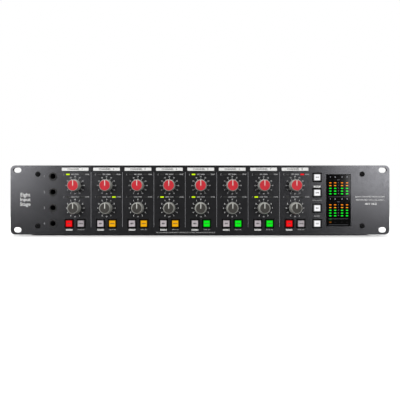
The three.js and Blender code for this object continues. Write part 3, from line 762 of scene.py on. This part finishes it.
def buttons():
    for n in CHANNELS:
        phantom = "red" if n in PHANTOM_ON else "unlit"
        drive = "amber" if n in DRIVE_AMBER else "green" if n in DRIVE_GREEN else "unlit"
        button(f"phantom_button_{n}", f"button_{phantom}", "48V", 1.9)
        button(f"drive_button_{n}", f"button_{drive}", "DRIVE", 1.45)
    for n, word in enumerate(("HI-Z", "LINE", "SRC", "CLK"), 1):
        button(f"function_button_{n}", "button_white", word, 1.5)


# ---------------------------------------------------------------- lamps, jacks and screws


def lamps():
    shapes = {}
    for n in CHANNELS:
        for row, z in LAMP_ROWS.items():
            for side, sign in (("left", -1), ("right", 1)):
                finish_name = LAMPS_ON.get((n, row, side), "lamp_off")
                place = at_front(CHANNEL_X[n] + sign * LAMP_OFFSET_X, z)
                shape = shapes.setdefault(finish_name, Shape())
                shape.add(plate(4.5, 1.7, 0.45, 0.6, -0.12, 0.12, 24), finish_name, place)
    for finish_name, shape in shapes.items():
        piece(f"status_{finish_name}", shape)


JACK_COLLAR = (  # radius, depth
    (5.2, -0.02),
    (5.2, -0.42),
    (5.0, -0.56),
    (3.7, -0.56),
    (3.25, -0.2),
    (3.2, 26),
    (3.42, 26),
    (3.42, 0),
)


def jack_collars():
    """The flush bushing of each instrument jack, its round bore and the spring contact inside."""
    for n in range(1, 5):
        at = middle(f"instrument_jack_{n}")
        place = at_front(at.x, at.z)
        shape = Shape()
        shape.add(turned(JACK_COLLAR, closed=True), "black", place)
        contact = place @ Matrix.Translation((0, 0, 2.8))
        shape.add(plate(1.4, 0.5, 0.1, 20, 9, 0.1, 8), "steel", contact)
        piece(f"instrument_jack_collar_{n}", shape)


def socket_head(radius, height, key):
    """Button-head screw with a hexagon socket. Its head's underside is at y = 0."""
    loops = [at_depth(circle(radius * 0.98), 0), at_depth(circle(radius), -height * 0.15)]
    for i in range(1, 6):
        angle = math.pi / 2 * i / 5
        r = key * 0.75 + (radius - key * 0.75) * math.cos(angle)
        loops.append(at_depth(circle(r), -height * (0.15 + 0.85 * math.sin(angle))))
    loops += [at_depth(hexagon(key + 0.2), -height), at_depth(hexagon(key), -height + 0.15)]
    loops += [at_depth(hexagon(key), -height + 1.2), at_depth(circle(key * 0.2), -height + 1.5)]
    return loft(loops)


def panel_screws():
    for corner in ("upper_left", "upper_right", "lower_left", "lower_right"):
        node = f"panel_screw_{corner}"
        low, high = corners(node)
        at = middle(node)
        shape = Shape()
        place = on("front", at.x, FRONT - 0.05, at.z)
        shape.add(socket_head((high.x - low.x) / 2, FRONT - low.y - 0.1, 2.5), "screw", place)
        shape.add(turned(((1.5, 0.02), (1.5, high.y - FRONT))), "screw", place)
        piece(f"{node}_look", shape, stands_for=(node,))


# ---------------------------------------------------------------- meter

METER_X = middle("meter_window").x
METER_Z = middle("meter_window").z
METER_FACE = corners("meter_window")[0].y
METER_COLUMNS = (-10.3, -4.2, 4.6, 11.0)
METER_TOP_ROW = 22.26  # first lit row of the upper block, above the window's middle
METER_ROW = 3.5
METER_BLOCK = 28  # the lower block is this far below the upper one
METER_LINES = (4.5, -23.5, -31.2)
METER_FOOT = ((-24.4, "segment_dim_green"), (-27.9, "segment_dim_orange"))  # dim marks, first column only
METER_MARKS = ("CLIP", "0", "6", "12", "24", "48")
METER_FINISHES = (  # from the top row down
    "segment_off",
    "segment_orange",
    "segment_amber",
    "segment_green",
    "segment_green",
    "segment_green",
)
SEGMENT = {"w": 2.9, "h": 1.1, "foot_h": 1.6}


def meter_place(x, z):
    """A place on the face of the meter window, from its middle."""
    return on("front", METER_X + x, METER_FACE, METER_Z + z)


def meter_segment(shape, column, z, finish_name, height=SEGMENT["h"]):
    part = plate(SEGMENT["w"], height, 0.5, 0.2, -INK, 0.03, 24)
    shape.add(part, finish_name, meter_place(column, z))


def meter_block(shape, top):
    for number, column in enumerate(METER_COLUMNS, 1):
        stamp(shape, str(number), 1.6, "meter_ink_painted_glow", meter_place(column, top + 2 * METER_ROW + 0.4), 0.04)
        for i, finish_name in enumerate(METER_FINISHES):
            meter_segment(shape, column, top + METER_ROW * (1 - i), finish_name)
    for i, mark in enumerate(METER_MARKS):
        stamp(shape, mark, 1.0, "meter_ink_painted_glow_dim", meter_place(0, top + METER_ROW * (1 - i) + 0.25), 0.03)


def meter():
    shape = Shape()
    meter_block(shape, METER_TOP_ROW)
    meter_block(shape, METER_TOP_ROW - METER_BLOCK)
    for z in METER_LINES:
        across = meter_place(0, z) @ Matrix.Rotation(math.pi / 2, 4, "Y")
        shape.add(bar(0.16, 25, 0.1, -INK), "meter_ink_painted_glow_dim", across)
    for z, finish_name in METER_FOOT:
        meter_segment(shape, METER_COLUMNS[0], z, finish_name, SEGMENT["foot_h"])
        for column in METER_COLUMNS[1:]:
            meter_segment(shape, column, z, "segment_off")
    piece("meter_segments", shape)
    low, high = corners("meter_window")
    pane = Shape()
    sheet = plate(high.x - low.x, high.z - low.z, 0.4, high.y - METER_FACE, 0, 0.2, 16)
    pane.add(sheet, "pane", meter_place(0, 0))
    piece("meter_pane", pane, stands_for=("meter_window",))


# ---------------------------------------------------------------- rear panel

MIC_X = {n: -100 + 40 * (8 - n) for n in CHANNELS}  # from the left to the right as seen from behind
MIC_Z = 60
MIC_PIN_CIRCLE = 4.6  # radius
LOWER_Z = 20  # the lower row of sockets
MULTIWAY_X = (50, 112, 174)
CLOCK_X = (-16, 6)
OPTICAL_X = (-82, -66, -50, -34)
USB_X = -104


def pan_head(radius, height):
    """Pan-head screw. Its cross-shaped recess is not cut: two dark bars on the dome stand for it, as
    painted shade.
    """
    shape = Shape()
    dome = [(radius, 0), (radius, -height * 0.5), (radius * 0.85, -height * 0.85), (radius * 0.5, -height)]
    shape.add(turned(dome, 32), "screw")
    for turn in (0, math.pi / 2):
        cross = Matrix.Rotation(turn + math.pi / 4, 4, "Y")
        # painted shade where the cross recess would be
        shape.add(bar(radius * 0.22, radius * 1.1, -height * 0.6, -height - 0.02), "dark_ink_and_hole_shade", cross)
    return shape


def put(shape, other, place):
    """Adds every part of another shape at a place."""
    base = len(shape.verts)
    shape.verts += [place @ v for v in other.verts]
    shape.faces += [tuple(base + i for i in face) for face in other.faces]
    shape.finishes += other.finishes


def mic_socket(n):
    place = at_rear(MIC_X[n], MIC_Z)
    shape = Shape()
    flange = rounded(26, 31, 3)
    loops = [at_depth(flange, 0), at_depth(flange, -1.4), at_depth(rounded(25, 30, 2.5), -1.8)]
    for radius, y in ((9.9, -1.8), (9.45, -1.4), (9.45, 7), (9.5, 7), (9.5, 0)):
        loops.append(at_depth(circle(radius), y))
    shape.add(loft(loops, closed=True), "black", place)
    shape.add(turned(((7.98, 7), (7.98, -1.2), (7.7, -1.5), (1, -1.5))), "black", place)
    sleeve = ((1.75, -1.4), (1.75, -1.56), (1.3, -1.56), (1.3, -1.3))
    for degrees in (-60, 60, 180):
        angle = math.radians(degrees)
        spot = Vector((math.sin(angle), 0, -math.cos(angle))) * MIC_PIN_CIRCLE
        pin = place @ Matrix.Translation(spot)
        shape.add(turned(sleeve, 24, closed=True), "brass", pin)
        # painted shade: a dark disc fills each pin's hole
        shape.add(turned(((1.3, -1.3), (1.3, -1.53)), 24), "dark_ink_and_hole_shade", pin)
    shape.add(plate(7, 3.2, 0.6, -1.7, -2.7, 0.3), "steel", place @ Matrix.Translation((0, 0, 12.6)))
    for sx, sz in ((-1, 1), (1, -1)):
        put(shape, pan_head(2.3, 1.2), place @ Matrix.Translation((sx * 9.8, -1.8, sz * 12.3)))
    piece(f"mic_socket_{n}", shape)


def trapezium(width, height, inset=0.0):
    slope = height * math.tan(math.radians(10))
    top, bottom = width / 2 - inset, width / 2 - slope - inset
    half = height / 2 - inset
    return [(bottom, -half), (top, half), (-top, half), (-bottom, -half)]


def multiway_socket(index, x):
    place = at_rear(x, LOWER_Z)
    shape = Shape()
    flange = rounded(53, 12.5, 1.5, 16)
    shape.add(loft([at_depth(flange, 0), at_depth(flange, -0.8)]), "steel", place)
    outer, inner = trapezium(39.8, 9.4), trapezium(39.8, 9.4, 0.35)
    shell = [at_depth(outer, -0.7), at_depth(outer, -6.2), at_depth(inner, -6.2), at_depth(inner, -0.7)]
    shape.add(loft(shell, closed=True), "steel", place)
    shape.add(loft([at_depth(inner, -0.7), at_depth(inner, -6.06)]), "black", place)
    for row, count in ((1.42, 13), (-1.42, 12)):
        for i in range(count):
            pin = place @ Matrix.Translation(((i - (count - 1) / 2) * 2.76, 0, row))
            shape.add(turned(((0.55, -5.9), (0.55, -6.12)), 12), "brass", pin)
            # painted shade: a dark disc fills each contact's hole
            shape.add(turned(((0.36, -5.9), (0.36, -6.14)), 12), "dark_ink_and_hole_shade", pin)
    for side in (-1, 1):
        post = place @ Matrix.Translation((side * 23.5, 0, 0))
        nut = hexagon(4.8, 24)
        loops = [at_depth(nut, -0.7), at_depth(nut, -5.2), at_depth(hexagon(4.4, 24), -5.5)]
        loops += [at_depth(circle(1.3, 24), -5.5), at_depth(circle(1.3, 24), -2)]
        shape.add(loft(loops), "steel", post)
    piece(f"multiway_socket_{index}", shape)


def clock_socket(index, x):
    place = at_rear(x, LOWER_Z)
    shape = Shape()
    nut = [at_depth(hexagon(12.7), 0), at_depth(hexagon(12.7), -1.6), at_depth(hexagon(12.0), -2.0)]
    shape.add(loft(nut), "steel", place)
    barrel = [(4.95, -1.9)]
    for i in range(4):
        barrel += [(4.95, -2.2 - 0.7 * i), (4.85, -2.55 - 0.7 * i)]
    barrel += [(4.4, -5.2), (4.4, -10.6), (4.25, -10.98), (3.6, -10.98), (3.6, -10.9)]
    shape.add(turned(barrel), "steel", place)
    shape.add(turned(((3.3, -10.8), (3.3, -10.99))), "pointer", place)
    shape.add(turned(((0.9, -10.8), (0.9, -11.0)), 24), "brass", place)
    for side in (-1, 1):
        lug = place @ Matrix.Translation((side * 4.9, -8.6, 0)) @ Matrix.Rotation(math.pi / 2, 4, "Z")
        shape.add(turned(((1.0, -0.75), (1.0, 0.75)), 16), "steel", lug)
    piece(f"clock_socket_{index}", shape)


def optical_socket(index, x):
    place = at_rear(x, LOWER_Z)
    shape = Shape()
    shape.add(plate(11.2, 11.2, 0.8, 0, -1.1, 0.3, 24), "black", place)
    shape.add(plate(8, 8, 1.2, -1.0, -1.3, 0.1, 24), "screw", place)
    latch = place @ Matrix.Translation((0, 0, -2.2))
    shape.add(plate(5.6, 2.0, 0.4, -1.2, -1.6, 0.15), "black", latch)
    piece(f"optical_socket_{index}", shape)


def service_socket():
    place = at_rear(USB_X, LOWER_Z)
    shape = Shape()
    outline = [at_depth(rounded(10, 4.4, 2.0), y) for y in (0, -0.7)]
    hole = [at_depth(rounded(8.9, 3.3, 1.6), y) for y in (-0.7, 0)]
    shape.add(loft(outline + hole, closed=True), "steel", place)
    # painted shade: a dark plate fills the socket's opening
    shape.add(plate(8.8, 3.2, 1.5, -0.02, -0.35, 0.0), "dark_ink_and_hole_shade", place)
    shape.add(plate(6.4, 0.9, 0.2, -0.3, -0.6, 0.05), "black", place)
    piece("service_socket", shape)


INLET_X = -188
INLET_Z = 28
BLADE_TIP = 5  # inside the inlet's face
ROCKER_TILT = 9  # degrees, at rest


def mains_blades():
    shape = Shape()
    for dx, dz in ((-7, -2), (7, -2), (0, 2)):
        place = on("rear", INLET_X + dx, INLET_FACE, INLET_Z + dz)
        shape.add(plate(2.3, 4.3, 0.4, 16.8, BLADE_TIP - 0.15, 0.3), "brass", place)
    piece("mains_blades", shape)


def power_rocker():
    """The rocker, in its CAD place and tilt, with a concave face and the two usual marks."""
    node = "power_rocker"
    at = middle(node)
    tilt = Matrix.Rotation(math.radians(ROCKER_TILT), 4, "X")
    pivot = Vector((at.x, INLET_FACE - 1, INLET_Z))
    place = Matrix.Translation(pivot) @ tilt @ SIDES["rear"]
    half_w, half_h = 5.45, 8.25
    outline = []
    steps = 14
    for i in range(steps + 1):
        z = -half_h + 2 * half_h * i / steps
        outline.append((z, -(2.2 + 1.25 * abs(z / half_h) ** 1.35)))
    outline += [(half_h, 0), (3, 4.9), (-3, 4.9), (-half_h, 0)]
    loops = []
    for x, inset in ((-half_w, 0.25), (-half_w + 0.25, 0), (half_w - 0.25, 0), (half_w, 0.25)):
        loops.append([(x, y + (inset if y < 0 else 0), z * (1 - inset / half_h)) for z, y in outline])
    shape = Shape()
    shape.add(loft(loops), "black", place)
    on_mark = place @ Matrix.Translation((0, -2.75, 4.6)) @ tilt.inverted()
    off_mark = place @ Matrix.Translation((0, -2.75, -4.6)) @ tilt
    ring = turned(((1.5, 0), (1.5, -0.3), (0.95, -0.3), (0.95, 0)), 32, closed=True)
    shape.add(bar(0.7, 3.2, 0, -0.3), "pointer", on_mark)
    shape.add(ring, "pointer", off_mark)
    piece(f"{node}_look", shape, node, (node,))


def rear_legends():
    shape = Shape()
    for n in CHANNELS:
        stamp(shape, f"MIC {n}", 2.4, "ink_white", at_rear(MIC_X[n], MIC_Z + 19), 0.02)
    for i, x in enumerate(MULTIWAY_X):
        words = ("LINE IN 1-8", "LINE OUT 1-8", "DIGITAL 1-8")[i]
        stamp(shape, words, 1.9, "ink_white", at_rear(x, LOWER_Z + 9.6), 0.02)
    for x, words in zip(CLOCK_X, ("CLOCK OUT", "CLOCK IN")):
        stamp(shape, words, 1.5, "ink_white", at_rear(x, LOWER_Z + 10.2), 0.02)
    for i, x in enumerate(OPTICAL_X):
        words = ("OUT B", "OUT A", "IN B", "IN A")[i]
        stamp(shape, words, 1.7, "ink_white", at_rear(x, LOWER_Z + 9), 0.02)
    stamp(shape, "OPTICAL", 1.9, "ink_white", at_rear(-58, LOWER_Z + 13), 0.02)
    stamp(shape, "SERVICE", 1.6, "ink_white", at_rear(USB_X, LOWER_Z + 5.4), 0.02)
    stamp(shape, "MAINS 100-240 V   50/60 Hz", 2.0, "ink_white", at_rear(-175, INLET_Z + 20), 0.02)
    piece("rear_legends", shape)


# ---------------------------------------------------------------- chassis screws


def countersunk(radius):
    """Flat-head screw that stands a little proud, with a hexagon socket."""
    rim = circle(radius)
    loops = [at_depth(rim, 0.05), at_depth(rim, -0.15), at_depth(circle(radius * 0.93), -0.3)]
    loops += [at_depth(hexagon(2.2), -0.3), at_depth(hexagon(2.0), -0.2), at_depth(hexagon(2.0), 0.9)]
    return loft(loops)


REAR_SCREWS = (  # height, places across
    (81, (-205, -130, 0, 130, 205)),
    (7.5, (-210, -140, 24, 81, 143, 210)),
)


def chassis_screws():
    shape = Shape()
    depth = COVER_HIGH.y - COVER_LOW.y
    rows = [COVER_LOW.y + depth * share for share in (0.05, 0.35, 0.65, 0.95)]
    for y in rows:
        for x in (COVER_LOW.x + 10, COVER_HIGH.x - 10):
            shape.add(countersunk(2.8), "screw", on("top", x, y, COVER_HIGH.z))
            shape.add(countersunk(2.8), "screw", on("under", x, y, TRAY_LOW.z))
        z = COVER_LOW.z + 6
        shape.add(countersunk(2.8), "screw", on("left", COVER_LOW.x, y, z))
        shape.add(countersunk(2.8), "screw", on("right", COVER_HIGH.x, y, z))
    for z, places in REAR_SCREWS:
        for x in places:
            put(shape, pan_head(2.4, 1.4), at_rear(x, z))
    piece("chassis_screws", shape)


# ---------------------------------------------------------------- finishes of the CAD pieces


BOARD_T = 1.6


def dress(node, material, bevel=0.0):
    """Gives a CAD node its material, and softens its sharp edges."""
    made = frame["nodes"][node]
    made.data.materials.clear()
    made.data.materials.append(material)
    if bevel:
        weld = made.modifiers.new("weld", "WELD")
        weld.merge_threshold = 0.002 * MM
        edge = made.modifiers.new("edge", "BEVEL")
        edge.width = bevel * MM
        edge.segments = 2
        edge.limit_method = "ANGLE"
        edge.angle_limit = math.radians(40)
        edge.harden_normals = True


def dress_cad():
    dress("front_panel", FINISHES["panel"], 0.45)
    dress("top_cover", FINISHES["sheet"], 0.5)
    dress("chassis_tray", FINISHES["sheet"], 0.4)
    dress("rear_panel", FINISHES["sheet"], 0.2)
    dress("mains_inlet", FINISHES["black"], 0.35)
    dress("channel_button_surround", FINISHES["frame"], 0.12)
    dress("function_button_surround", FINISHES["frame"], 0.12)
    dress("meter_board", FINISHES["black"])
    dress("ribbon_cable", FINISHES["cable"])
    for n in range(1, 5):
        dress(f"instrument_jack_{n}", FINISHES["black"])
    upper = corners("preamp_board")[0].z + BOARD_T
    lower = corners("converter_board")[0].z + BOARD_T
    dress("preamp_board", board_material("amplifier_board", upper))
    dress("converter_board", board_material("converter_board", lower))
    dress("power_supply", board_material("supply_board", lower))
    dress("control_board", FINISHES["black"])


# ---------------------------------------------------------------- studio

SKY = ((-0.6, 0.06), (-0.3, 0.3), (0.25, 0.3), (0.55, 1.1))  # height of the direction, radiance
BOX_DISTANCE = 1.3  # metres from the panel to the two front softboxes
CAMERA_DISTANCE = 800  # from the panel's face
FRAME_WIDTH = 509.3  # seen at the panel's face
SENSOR = 36
PANEL_AT = Vector((0, FRONT, MID_Z)) * MM
FLOOR_RADIUS = 2300
FLOOR_FADE = (0.55, 1.1)  # metres from the middle
FLOOR_DROP = 1.2  # what hidden feet would lift the unit by


def camera():
    data = bpy.data.cameras.new("camera")
    data.sensor_width = SENSOR
    data.lens = SENSOR * CAMERA_DISTANCE / FRAME_WIDTH
    data.clip_start = 0.01
    data.clip_end = 50
    made = bpy.data.objects.new("camera", data)
    made.location = Vector((0, FRONT - CAMERA_DISTANCE, MID_Z)) * MM
    made.rotation_euler = (math.pi / 2, 0, 0)
    bpy.context.scene.collection.objects.link(made)
    bpy.context.scene.camera = made


def softbox(name, at, aim, width, height, radiance):
    """A rectangular light. All places and sizes are in metres."""
    data = bpy.data.lights.new(name, "AREA")
    data.shape = "RECTANGLE"
    data.size, data.size_y = width, height
    data.energy = radiance * math.pi * width * height
    made = bpy.data.objects.new(name, data)
    made.location = at
    made.rotation_euler = (aim - at).to_track_quat("-Z", "Y").to_euler()
    bpy.context.scene.collection.objects.link(made)


def front_box(name, left, right, bottom, top, radiance):
    """A softbox square to the panel, with its edges given from the panel's middle."""
    y = FRONT * MM - BOX_DISTANCE
    z = MID_Z * MM + (bottom + top) / 2
    x = (left + right) / 2
    softbox(name, Vector((x, y, z)), Vector((x, 0, z)), right - left, top - bottom, radiance)


def world():
    """A white backdrop. What falls on the object is dim at eye level and bright from above."""
    made = bpy.data.worlds.new("studio")
    made.use_nodes = True
    tree = made.node_tree
    background = tree.nodes["Background"]
    direction = tree.nodes.new("ShaderNodeTexCoord").outputs["Generated"]
    split = tree.nodes.new("ShaderNodeSeparateXYZ")
    link(tree, direction, split.inputs["Vector"])
    ramp = tree.nodes.new("ShaderNodeValToRGB")
    link(tree, ranged(tree, split.outputs["Z"], 0, 1, (-1, 1)), ramp.inputs["Fac"])
    while len(ramp.color_ramp.elements) < len(SKY):
        ramp.color_ramp.elements.new(1)
    for element, (height, radiance) in zip(ramp.color_ramp.elements, SKY):
        element.position = (height + 1) / 2
        element.color = (radiance, radiance, radiance, 1)
    light = ramp.outputs["Color"]
    seen = tree.nodes.new("ShaderNodeLightPath").outputs["Is Camera Ray"]
    link(tree, mixed(tree, seen, light, (1.0, 1.0, 1.0)), background.inputs["Color"])
    bpy.context.scene.world = made


def floor_material():
    """Pale and plain. It fades into the white backdrop away from the object."""
    material = finish(
        "pale_floor", (0.7, 0.7, 0.7), 0.6, mottle=0.01, mottle_scale=2, rough_spread=0.03, specular=0.1,
    )
    tree = material.node_tree
    shader = tree.nodes["Principled BSDF"]
    distance = tree.nodes.new("ShaderNodeVectorMath")
    distance.operation = "LENGTH"
    link(tree, tree.nodes.new("ShaderNodeTexCoord").outputs["Object"], distance.inputs[0])
    away = ranged(tree, distance.outputs["Value"], 0, 1, FLOOR_FADE)
    pale = shader.inputs["Base Color"].links[0].from_socket
    link(tree, mixed(tree, away, pale, (0.0, 0.0, 0.0)), shader.inputs["Base Color"])
    shader.inputs["Emission Color"].default_value = (1, 1, 1, 1)
    link(tree, away, shader.inputs["Emission Strength"])
    return material


def studio():
    mesh = bpy.data.meshes.new("floor")
    rim = [(x, y, -FLOOR_DROP) for x, y in circle(FLOOR_RADIUS, 96)]
    mesh.from_pydata([Vector(v) * MM for v in rim], [], [tuple(range(len(rim)))])
    floor = bpy.data.objects.new("floor", mesh)
    bpy.context.scene.collection.objects.link(floor)
    mesh.materials.append(floor_material())
    floor.visible_glossy = False
    floor.visible_diffuse = False
    front_box("left_softbox", -1.11, -0.56, 0.05, 0.62, 11.5)
    front_box("right_softbox", 0.49, 1.10, 0.01, 0.39, 12)
    key = PANEL_AT + Vector((-0.66, -0.66, 1.13))
    softbox("key_softbox", key, PANEL_AT, 0.5, 0.5, 13)
    softbox("back_softbox", Vector((0, 0.95, 1.5)), Vector((0, 0.95, 0)), 2.6, 1.2, 6)
    softbox("rear_softbox", Vector((0.7, 1.7, 0.8)), Vector((0, 0.15, 0.05)), 1.2, 0.9, 2.5)
    bpy.context.scene.view_settings.view_transform = "Standard"


camera()
front_legends()
knobs()
buttons()
lamps()
jack_collars()
panel_screws()
meter()
for channel in CHANNELS:
    mic_socket(channel)
for index, x in enumerate(MULTIWAY_X, 1):
    multiway_socket(index, x)
for index, x in enumerate(CLOCK_X, 1):
    clock_socket(index, x)
for index, x in enumerate(OPTICAL_X, 1):
    optical_socket(index, x)
service_socket()
mains_blades()
power_rocker()
rear_legends()
chassis_screws()
dress_cad()
world()
studio()
